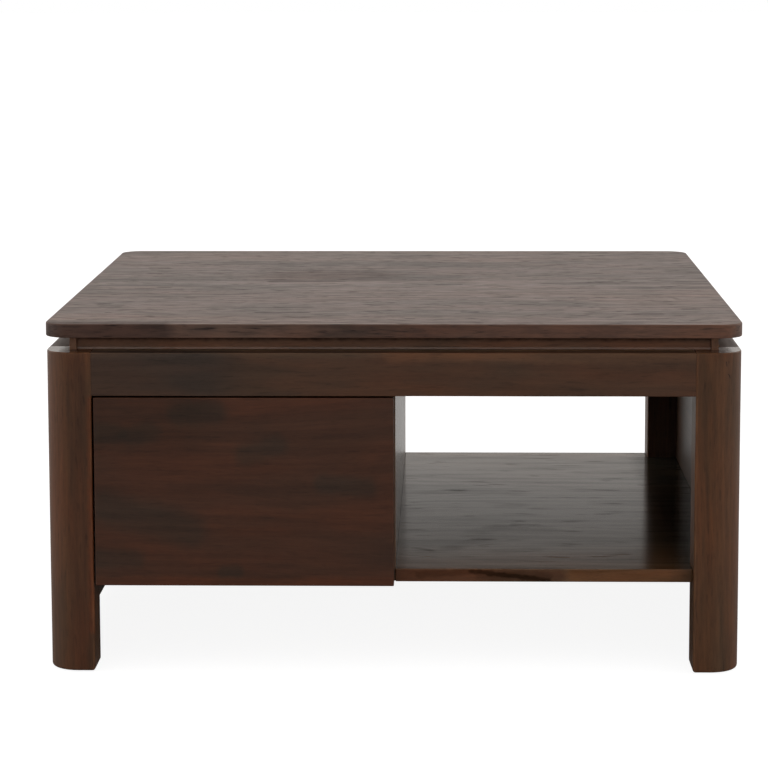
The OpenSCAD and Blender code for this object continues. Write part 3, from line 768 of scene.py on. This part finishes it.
class TABLE_OT_top(Operator):
    """Make the top: edge-glued boards with rounded corners and eased edges"""

    bl_idname = "coffee_table.top"
    bl_label = "Top"

    def execute(self, context):
        edges, finish = chosen(context)
        low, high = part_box("table_top")
        seams = [("Y", y, 1.0) for y in (-0.302, -0.166, -0.030, 0.150, 0.256)]
        # The last three rows are broad tones, partly the top's wood and partly painted light and shade: two
        # lighter places and one darker one
        marks = streaks("Z", high[2], (
            (-0.304, -0.048, 0.014, 0, 0.005, 0.7), (-0.163, -0.294, 0.060, 0, 0.005, 0.8),
            (-0.142, -0.242, 0.040, 0, 0.007, 0.4), (-0.331, 0.112, 0.012, 0, 0.006, 0.6),
            (-0.165, 0.023, 0.090, 0, 0.009, 0.5), (-0.358, -0.214, 0.011, 0, 0.005, 0.7),
            (-0.353, -0.243, 0.021, 0, 0.006, 0.5), (-0.338, 0.179, 0.023, 0, 0.007, 0.5),
            (0.081, -0.288, 0.016, 0, 0.005, 0.9), (0.219, -0.162, 0.014, 0, 0.005, 0.7),
            (0.343, -0.258, 0.018, 0, 0.005, 0.8), (0.282, -0.305, 0.030, 0, 0.007, 0.5),
            (0.255, 0.018, 0.018, 0, 0.005, 0.5), (0.321, 0.169, 0.013, 0, 0.006, 0.5),
            (0.123, -0.142, 0.023, 0, 0.008, 0.4), (0.050, -0.012, 0.028, 0, 0.006, 0.6),
            (0.016, -0.350, 0.006, 0, 0.005, 0.6), (0.300, -0.160, 0.085, 0, 0.12, (1.38, 1.50, 1.62)),
            (-0.360, -0.370, 0.230, 0, 0.09, (1.30, 1.38, 1.45)),
            (-0.130, 0.090, 0.080, 0, 0.08, (0.84, 0.74, 0.66)),
        ))
        # Painted shade along the top's front edge: darkest at its left end and a little darker over its
        # middle
        edge = high[2] - 0.01
        marks += streaks("Y", low[1], (
            (low[0], edge, 0.13, 0, 0.03, (0.37, 0.34, 0.34)),
            (low[0] + 0.17, edge, high[0] - low[0] - 0.32, 0, 0.03, (0.88, 0.84, 0.82)),
        ))
        looks = (finish.top_colour, finish.top_rough, TOP)
        material = wood("Top wood", "X", "Y", *looks, seams, (0.0, 0.405), marks=marks, seed=3.0)
        corner, ease = edges.top_corner, edges.top_ease
        make_board("top_board", "table_top", material, "Z", corner, ease, edges.wander, 1)
        return {"FINISHED"}


class TABLE_OT_reveal(Operator):
    """Make the set-back strips that lift the top off the frame, each flared a little at its outer foot"""

    bl_idname = "coffee_table.reveal"
    bl_label = "Reveal strips"

    def execute(self, context):
        edges, finish = chosen(context)
        low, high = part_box("reveal_front")
        foot = low[2] + edges.flare_high
        # The strips' colour is partly stain, partly painted light in the recess under the top
        looks = (finish.reveal_stain_and_light, finish.frame_rough, PLAIN)
        both = {"heart": (0.38, 0.0), "glossy": (foot + 0.0002, foot - 0.0002)}
        # A painted stand-in for the top's shade
        shaded = streaks("Y", low[1], [(low[0], high[2], high[0] - low[0], 0, 0.009, (0.24, 0.20, 0.16))])
        cuts = [("Y", 0.0, 1.0)]
        cross = wood("Cross strip wood", "X", "Z", *looks, cuts, marks=shaded, seed=11.0, **both)
        side = wood("Side strip wood", "Y", "Z", *looks, [("X", 0.0, 1.0)], seed=14.0, **both)
        radii = [0.0001] + 4 * [edges.joint_ease]
        for place, axis, material in (
            ("front", "X", cross), ("rear", "X", cross), ("left", "Y", side), ("right", "Y", side)
        ):
            low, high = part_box("reveal_" + place)
            across = 1 - "XY".index(axis)
            inner, outer = sorted((low[across], high[across]), key=abs)
            flared = outer + math.copysign(edges.flare, outer)
            corners = [
                (flared, low[2]), (inner, low[2]), (inner, high[2]), (outer, high[2]),
                (outer, low[2] + edges.flare_high),
            ]
            if axis == "Y":
                corners = [corner[::-1] for corner in corners]
            name = "reveal_strip_" + place
            make_board(name, "reveal_" + place, material, axis, radii, edges.joint_ease, corners=corners)
        return {"FINISHED"}


class TABLE_OT_legs(Operator):
    """Make the four legs, each with its large rounded outer corner"""

    bl_idname = "coffee_table.legs"
    bl_label = "Legs"

    def execute(self, context):
        edges, finish = chosen(context)
        marks = [
            ((0.3800, -0.397, 0.364), (0.3815, -0.397, 0.353), 0.0012, stain(0.8)),
            ((0.3835, -0.396, 0.364), (0.3815, -0.397, 0.353), 0.0012, stain(0.6)),
            ((0.3815, -0.397, 0.353), (0.3860, -0.395, 0.344), 0.0013, stain(0.9)),
            ((0.3860, -0.395, 0.344), (0.3862, -0.395, 0.318), 0.0012, stain(0.5)),
        ]
        # Painted light and shade on the front legs: a warm painted highlight along the left leg's edge
        # beside the drawer, painted shade beside it, and a cool painted highlight down the right leg
        marks += streaks("Y", -0.400, (
            (-0.3455, 0.05, 0, 0.27, 0.008, (1.35, 0.95, 0.72)),
            (-0.362, 0.01, 0, 0.35, 0.016, (0.84, 0.76, 0.76)),
            (0.376, 0.01, 0, 0.35, 0.014, (1.02, 1.14, 1.30)),
        ))
        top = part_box("leg_front_right")[1][2]
        material = wood(
            "Leg wood", "Z", "X", finish.leg_colour, finish.frame_rough, LEG,
            [("X", 0.0, 1.0), ("Y", 0.0, 2.0)], marks=marks, glossy=(top - 0.0012, top - 0.0004), seed=21.0,
        )
        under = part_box("apron_front")[0][2]
        ease = (edges.foot_ease, edges.rail_ease)
        for number, (place, outer) in enumerate(
            (("front_left", 0), ("front_right", 1), ("rear_left", 3), ("rear_right", 2))
        ):
            node = "leg_" + place
            radii = np.full(4, edges.leg_edge)
            radii[outer] = edges.leg_corner
            crisp = radii.copy()
            crisp[[outer - 3, outer - 1]] = edges.joint_ease
            change = (outline(oblong(*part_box(node)), crisp), under - edges.leg_edge, under)
            name = "leg_post_" + place
            make_board(name, node, material, "Z", radii, ease, edges.wander, 20 + number, change=change)
        return {"FINISHED"}


class TABLE_OT_aprons(Operator):
    """Make the aprons between the legs, flush with their outer faces"""

    bl_idname = "coffee_table.aprons"
    bl_label = "Aprons"

    def execute(self, context):
        edges, finish = chosen(context)
        low, high = shouldered("apron_front", "X")
        # Painted light and shade on the front apron: lighter lengths along its upper edge, partly wear and
        # partly a painted highlight, and painted shade over its left end
        wear_and_painted_light = streaks("Y", low[1], (
            (0.0, high[2], high[0], 0, 0.016, (1.48, 1.54, 1.52)),
            (low[0], high[2], -0.015 - low[0], 0, 0.009, (1.22, 1.34, 1.40)),
            (low[0], 0.35, 0.10, 0, 0.09, (0.60, 0.76, 0.98)),
        ))
        looks = (finish.frame_colour, finish.frame_rough, PLAIN)
        cuts = [("Y", 0.0, 1.0)]
        cross = wood("Cross apron wood", "X", "Z", *looks, cuts, (0.35, 0.0), marks=wear_and_painted_light, seed=31.0)
        side = wood("Side apron wood", "Y", "Z", *looks, [("X", 0.0, 1.0)], (0.35, 0.0), seed=34.0)
        out, inside = edges.rail_ease, edges.panel_ease
        for number, (place, axis, material, radii) in enumerate((
            ("front", "X", cross, (out, inside, inside, out)),
            ("rear", "X", cross, (inside, out, out, inside)),
            ("left", "Y", side, (out, out, inside, inside)),
            ("right", "Y", side, (inside, inside, out, out)),
        )):
            make_board(
                "apron_rail_" + place, "apron_" + place, material, axis, radii, edges.joint_ease,
                edges.wander, 30 + number, shouldered("apron_" + place, axis),
            )
        return {"FINISHED"}


class TABLE_OT_panels(Operator):
    """Make the side panels, the divider and the panel behind the drawer"""

    bl_idname = "coffee_table.panels"
    bl_label = "Panels"

    def execute(self, context):
        edges, finish = chosen(context)
        ease, wander = edges.panel_ease, edges.wander / 2
        seams = [("Z", 0.120, 2.0), ("Z", 0.225, 4.0)]
        right, left, middle, back = (
            wood(name, grain, "Z", finish.panel_colour, rough, PANEL, seams, (0.2, heart), seed=seed)
            for name, grain, rough, heart, seed in (
                ("Side panel wood", "Y", finish.panel_rough, 0.37, 41.0),
                ("Left panel wood", "Y", finish.frame_rough, -0.37, 44.0),
                ("Divider wood", "Y", finish.divider_rough, 0.0, 47.0),
                ("Rear panel wood", "X", finish.panel_rough, 0.37, 53.0),
            )
        )
        for number, (place, material) in enumerate((("left", left), ("right", right))):
            node = "side_panel_" + place
            box = shouldered(node, "Y")
            box[1, 2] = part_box("apron_left")[0][2]
            make_board("side_board_" + place, node, material, "X", ease, ease, wander, 40 + number, box)
        low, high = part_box("divider")
        gap = low[1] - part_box("apron_front")[1][1]
        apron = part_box("apron_rear")[0]
        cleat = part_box("cleat_rear")[0]
        notch = cleat[2] - gap
        corners = [
            (low[1], low[2]), (high[1], low[2]),
            (high[1], apron[2] - gap), (apron[1] - gap, apron[2] - gap),
            (apron[1] - gap, notch), (cleat[1] - gap, notch), (cleat[1] - gap, high[2]),
            (gap - cleat[1], high[2]), (gap - cleat[1], notch), (low[1], notch),
        ]
        make_board("divider_board", "divider", middle, "X", ease, ease, wander, 42, corners=corners)
        make_board("rear_board", "rear_panel", back, "Y", ease, ease)
        return {"FINISHED"}


class TABLE_OT_shelf(Operator):
    """Make the shelf, notched round the right-hand legs"""

    bl_idname = "coffee_table.shelf"
    bl_label = "Shelf"

    def execute(self, context):
        edges, finish = chosen(context)
        low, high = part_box("shelf")
        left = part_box("divider")[1][0]
        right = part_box("side_panel_right")[0][0]
        leg_x, leg_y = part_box("leg_rear_right")[0][:2]
        seams = [("Y", y, 1.0) for y in (-0.255, -0.110, 0.070, 0.215)]
        knots = [
            (0.304, -0.074, 0.0035), (0.183, -0.162, 0.003), (0.084, -0.166, 0.002), (0.050, 0.328, 0.003)
        ]
        # The first two rows are tones along the front edge, partly the wood's tone and partly painted light
        # and shade: darker to the left, warmer to the right
        marks = streaks("Y", low[1], (
            (0.0, 0.110, 0.19, 0, 0.016, (0.70, 0.56, 0.58)),
            (0.211, 0.110, 0.139, 0, 0.016, (1.12, 0.86, 0.66)),
            (0.03, 0.112, 0.06, 0.004, 0.006, 0.35), (0.09, 0.116, 0.09, -0.010, 0.004, 0.7),
            (0.10, 0.112, 0.08, -0.003, 0.008, 0.3),
        ))
        # The last two rows are painted light: a warm painted tone over the shelf's front, and a painted
        # reflection, a stand-in for the dark rear leg mirrored beside the panel
        marks += streaks("Z", high[2], (
            (0.008, 0.061, 0.070, 0.031, 0.020, 0.12), (0.078, 0.092, 0.073, -0.016, 0.022, 0.14),
            (0.151, 0.076, 0.091, 0.022, 0.020, 0.12), (0.242, 0.098, 0.076, -0.013, 0.020, 0.10),
            (0.131, -0.012, 0.024, 0.007, 0.018, 0.20), (0.256, 0.010, 0.056, -0.006, 0.020, 0.18),
            (0.098, -0.169, 0.030, 0.025, 0.022, 0.16), (0.128, -0.144, 0.057, -0.012, 0.028, 0.20),
            (0.034, -0.291, 0.034, 0.023, 0.020, 0.20), (0.068, -0.268, 0.036, 0.052, 0.020, 0.17),
            (0.125, -0.285, 0.041, 0.012, 0.020, 0.19), (0.02, -0.36, 0.31, 0, 0.10, (0.95, 0.80, 0.70)),
            (0.372, -0.36, 0, leg_y + 0.36, 0.062, (0.36, 0.48, 0.62)),
        ))
        looks = (finish.shelf_colour, finish.shelf_rough, SHELF)
        material = wood("Shelf wood", "X", "Y", *looks, seams, (0.0, 0.117), knots, marks, seed=61.0)
        corners = [
            (left, low[1]), (leg_x, low[1]), (leg_x, -leg_y), (right, -leg_y),
            (right, leg_y), (leg_x, leg_y), (leg_x, high[1]), (left, high[1]),
        ]
        ease, wander = edges.panel_ease, edges.wander / 2
        make_board("shelf_board", "shelf", material, "Z", ease, ease, wander, 60, corners=corners)
        return {"FINISHED"}


class TABLE_OT_drawer_front(Operator):
    """Make the handleless drawer front"""

    bl_idname = "coffee_table.drawer_front"
    bl_label = "Drawer front"

    def execute(self, context):
        edges, finish = chosen(context)
        low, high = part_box("drawer_front")
        clouds = (
            (-0.245, 0.303, 0.041, 0.002, 0.020), (-0.340, 0.281, 0.022, 0.0, 0.018),
            (-0.300, 0.278, 0.022, 0.004, 0.018), (-0.168, 0.256, 0.034, 0.010, 0.020),
            (-0.330, 0.195, 0.095, -0.027, 0.030), (-0.080, 0.223, 0.050, -0.005, 0.017),
            (-0.194, 0.119, 0.014, 0.0, 0.012), (-0.338, 0.134, 0.040, 0.0, 0.017),
        )
        marks = streaks("Y", low[1], (
            *((*cloud, GREY_CLOUD) for cloud in clouds),
            # The last two rows are painted light and shade: painted shade at the upper left corner and a
            # warm painted highlight along the lower edge
            (low[0], high[2], 0.08, 0.0, 0.10, (0.72, 0.72, 0.64)),
            (low[0], low[2], high[0] - low[0], 0.0, 0.014, (1.28, 1.06, 0.86)),
        ))
        looks = (finish.front_colour, finish.front_rough, FRONT)
        material = wood("Drawer front wood", "X", "Z", *looks, heart=(0.2, -0.40), marks=marks, seed=71.0)
        ease = edges.front_ease
        make_board("drawer_face", "drawer_front", material, "Y", ease, ease, edges.wander, 70)
        return {"FINISHED"}


class TABLE_OT_drawer_box(Operator):
    """Make the drawer's sides, subfront and back, grooved for its bottom"""

    bl_idname = "coffee_table.drawer_box"
    bl_label = "Drawer box"

    def execute(self, context):
        edges, finish = chosen(context)
        looks = (finish.inner_colour, finish.inner_rough, PLAIN)
        side_wood = wood("Drawer side wood", "Y", "Z", *looks, [("X", -0.18, 1.0)], (0.2, -0.3), seed=81.0)
        end_wood = wood("Drawer end wood", "X", "Z", *looks, [("Y", -0.1, 1.0)], (0.2, -0.3), seed=84.0)
        soft, small = edges.box_ease, edges.joint_ease
        under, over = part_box("drawer_bottom")
        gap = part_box("drawer_back")[0][2] - over[2]
        sill, lintel = under[2] - gap, over[2] + gap
        for part, material, axis, depth, ease in (
            ("side_left", side_wood, "Y", under[0] - gap, edges.panel_ease),
            ("side_right", side_wood, "Y", over[0] + gap, edges.panel_ease),
            ("subfront", end_wood, "X", under[1] - gap, small),
        ):
            low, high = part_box("drawer_" + part)
            across = 1 - "XY".index(axis)
            back, face = low[across], high[across]
            if part == "side_right":
                back, face = face, back
            corners = [
                (low[2], back), (high[2], back), (high[2], face), (lintel, face),
                (lintel, depth), (sill, depth), (sill, face), (low[2], face),
            ]
            if axis == "X":
                corners = [corner[::-1] for corner in corners]
            radii = [small, soft, soft] + 5 * [small]
            make_board("box_" + part, "drawer_" + part, material, axis, radii, ease, corners=corners)
        make_board("box_back", "drawer_back", end_wood, "X", [small, small, soft, soft], small)
        dress(plywood("Drawer bottom wood", finish.ply_colour, finish.inner_rough), "drawer_bottom")
        return {"FINISHED"}


class TABLE_OT_inside(Operator):
    """Finish the boards inside that keep the CAD's shape"""

    bl_idname = "coffee_table.inside"
    bl_label = "Inner boards"

    def execute(self, context):
        finish = context.scene.table_finish
        looks = (finish.inner_colour, finish.inner_rough, PLAIN)
        seams = [("Y", y, 1.0) for y in (-0.24, -0.08, 0.09, 0.25)]
        fore, aside = [("Y", 0.0, 1.0)], [("X", 0.0, 1.0)]
        sides = ["cleat_left", "cleat_right", "runner_packer"]
        for name, grain, across, cuts, heart, seed, nodes in (
            ("Sub-top", "X", "Y", seams, (0.0, 0.36), 91.0, ["sub_top"]),
            ("Cross cleat", "X", "Z", fore, (0.35, 0.0), 96.0, ["cleat_front", "cleat_rear"]),
            ("Side cleat", "Y", "Z", aside, (0.35, 0.0), 98.0, sides),
            ("Batten", "Y", "X", aside, (0.0, 0.38), 101.0, ["top_battens"]),
        ):
            dress(wood(name + " wood", grain, across, *looks, cuts, heart, seed=seed), *nodes)
        return {"FINISHED"}


class TABLE_OT_hardware(Operator):
    """Finish the runners, ball cages and glides, and make the screws"""

    bl_idname = "coffee_table.hardware"
    bl_label = "Runners, screws and glides"

    def execute(self, context):
        finish = context.scene.table_finish
        zinc = plated_steel("Zinc plate", finish.zinc_colour, 0.34, 450.0)
        screw_zinc = plated_steel("Screw zinc", finish.zinc_colour, 0.28, 1200.0)
        bearing = polished_steel("Bearing steel", finish.bearing_colour)
        for side, way in (("left", -1), ("right", 1)):
            dress(zinc, *("runner_" + part + "_" + side for part in ("outer", "middle", "inner")))
            dress(bearing, "outer_cage_" + side, "inner_cage_" + side)
            for part, turned_to, middle in (("case", way, 0.4541), ("box", -way, 0.5062)):
                node = part + "_screws_" + side
                name = part + "_screw_set_" + side
                self.screws(name, node, screw_zinc, "X", turned_to, FLAT_HEAD, (0, middle, 1), (0.5,))
        ends, rows = (0, 1), (0, 0.3125, 0.6875, 1)
        self.screws("top_screw_set", "top_screws", screw_zinc, "Z", 1, ROUND_HEAD, ends, rows)
        self.screws("front_screw_set", "drawer_front_screws", screw_zinc, "Y", -1, ROUND_HEAD, ends, ends)
        dress(moulded_plastic("Glide plastic", finish.plastic_colour), "foot_glides")
        return {"FINISHED"}

    def screws(self, name, node, material, axis, way, head, *shares):
        """Makes a node's screws along an axis, with their heads at its low end where way is 1.

        For each of the two other axes, shares says how far each row is from the first to the last.
        """
        k = "XYZ".index(axis)
        low, high = np.array(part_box(node))
        first, last = np.delete(low, k) + HEAD_RADIUS, np.delete(high, k) - HEAD_RADIUS
        spots = first + np.array(list(product(*shares))) * (last - first)
        places = np.insert(spots, k, low[k] if way > 0 else high[k], axis=1)
        thick, dome = head
        shell = screw(HEAD_RADIUS, SHANK_RADIUS, thick, high[k] - low[k], dome)
        add_piece(name, joined(shell, places, axis, way), material, node)


class TABLE_OT_stage(Operator):
    """Make the pale floor, the studio's light and the camera"""

    bl_idname = "coffee_table.stage"
    bl_label = "Studio"

    def execute(self, context):
        studio = context.scene.table_studio
        context.scene.view_settings.view_transform = "Standard"
        self.make_walls(context, studio)
        self.make_floor(studio)
        self.make_camera(context, studio)
        return {"FINISHED"}

    def make_walls(self, context, studio):
        """The world: white where the camera looks at it, or else walls whose light changes with height."""
        world = bpy.data.worlds.new("Studio")
        context.scene.world = world
        f = Finish(world)
        x, y, z = f.split(f.node("ShaderNodeTexCoord", output="Generated"))
        north = y / (x * x + y * y) ** 0.5
        ahead = north.ease(0.30, 0.75)
        behind = north.ease(-0.30, -0.75)
        beside = 1 - ahead - behind
        right = beside * (x > 0.0)
        level = 0.0
        for part, heights, values in (
            (ahead, AHEAD_HEIGHTS, studio.ahead), (behind, BEHIND_HEIGHTS, studio.behind),
            (beside - right, SIDE_HEIGHTS, studio.left), (right, SIDE_HEIGHTS, studio.right),
        ):
            level = level + part * z.climb([*heights, CEILING_HEIGHT], [*values, studio.ceiling])
        seen = f.node("ShaderNodeLightPath", output="Is Camera Ray")
        level = seen + (1 - seen) * level
        colour = f.mix((ahead + right) * (1 - seen), (1.0, 1.0, 1.0), studio.ahead_tint)
        shader = f.node("ShaderNodeBackground", None, {"Color": colour, "Strength": level})
        f.node("ShaderNodeOutputWorld", None, {"Surface": shader})

    def make_floor(self, studio):
        """A large plane, which the camera sees a little brighter than its light alone would make it."""
        mesh = bpy.data.meshes.new("Floor")
        corners = oblong((-FLOOR_REACH, -FLOOR_REACH), (FLOOR_REACH, FLOOR_REACH))
        mesh.from_pydata([(x, y, 0.0) for x, y in corners], [], [range(4)])
        floor = bpy.data.objects.new("Floor", mesh)
        bpy.context.scene.collection.objects.link(floor)
        f = Finish(bpy.data.materials.new("Studio floor"))
        x, y, z = f.place()
        mottle = 0.99 + 0.02 * f.noise((x * 3.0, y * 3.0, z), 3.0)
        seen = f.node("ShaderNodeLightPath", output="Is Camera Ray")
        grey = (studio.floor_grey + seen * (studio.floor_seen - studio.floor_grey)) * mottle
        shader = f.node("ShaderNodeBsdfDiffuse", None, {"Color": f.scale((1.0, 1.0, 1.0), grey)})
        glossy = f.node("ShaderNodeLightPath", output="Is Glossy Ray")
        glow = seen * studio.floor_glow + glossy * y.ease(0.45, 1.0) * studio.floor_shine
        glow_tint = f.mix(glossy, (1.0, 1.0, 1.0), studio.ahead_tint)
        glow = f.node("ShaderNodeEmission", None, {"Color": glow_tint, "Strength": glow})
        both = f.node("ShaderNodeAddShader", None, {0: shader, 1: glow})
        f.node("ShaderNodeOutputMaterial", None, {"Surface": both})
        mesh.materials.append(f.owner)

    def make_camera(self, context, studio):
        """The photograph's camera: its lens and shift come from a focal length and a centre in pixels."""
        lens = bpy.data.cameras.new("Camera")
        lens.sensor_width = SENSOR_MM
        lens.lens = FOCAL_PX / IMAGE_PX * SENSOR_MM
        lens.shift_y = (CENTRE_DOWN_PX - IMAGE_PX / 2) / IMAGE_PX
        lens.clip_end = CAMERA_REACH
        camera = bpy.data.objects.new("Camera", lens)
        turn = Matrix.Rotation(studio.camera_turn, 4, "Z")
        down = Matrix.Rotation(math.pi / 2 - studio.camera_down, 4, "X")
        roll = Matrix.Rotation(studio.camera_roll, 4, "Z")
        camera.matrix_world = Matrix.Translation(studio.camera_place) @ turn @ down @ roll
        context.scene.collection.objects.link(camera)
        context.scene.camera = camera


class TABLE_PT_sidebar(Panel):
    """Sizes, colours and steps of the coffee table"""

    bl_label = "Coffee table"
    bl_idname = "TABLE_PT_sidebar"
    bl_space_type = "VIEW_3D"
    bl_region_type = "UI"
    bl_category = "Coffee table"

    def draw(self, context):
        column = self.layout.column()
        for group in (*chosen(context), context.scene.table_studio):
            for name in group.__annotations__:
                column.prop(group, name)
            column.separator()
        for step in STEPS:
            column.operator(step.bl_idname)


GROUPS = {"table_edges": TableEdges, "table_finish": TableFinish, "table_studio": TableStudio}
STEPS = (
    TABLE_OT_stage, TABLE_OT_top, TABLE_OT_reveal, TABLE_OT_legs, TABLE_OT_aprons, TABLE_OT_panels,
    TABLE_OT_shelf, TABLE_OT_drawer_front, TABLE_OT_drawer_box, TABLE_OT_inside, TABLE_OT_hardware,
)


def register():
    """Makes the groups, the steps and the panel known to Blender."""
    for made in (*GROUPS.values(), *STEPS, TABLE_PT_sidebar):
        bpy.utils.register_class(made)
    for name, group in GROUPS.items():
        setattr(bpy.types.Scene, name, PointerProperty(type=group))


def unregister():
    """Takes them away again."""
    for name in GROUPS:
        delattr(bpy.types.Scene, name)
    for made in (TABLE_PT_sidebar, *reversed(STEPS), *GROUPS.values()):
        bpy.utils.unregister_class(made)


def main():
    """Makes every piece in order."""
    register()
    for step in STEPS:
        getattr(bpy.ops.coffee_table, step.bl_idname.split(".")[1])()


if __name__ == "__main__":
    main()
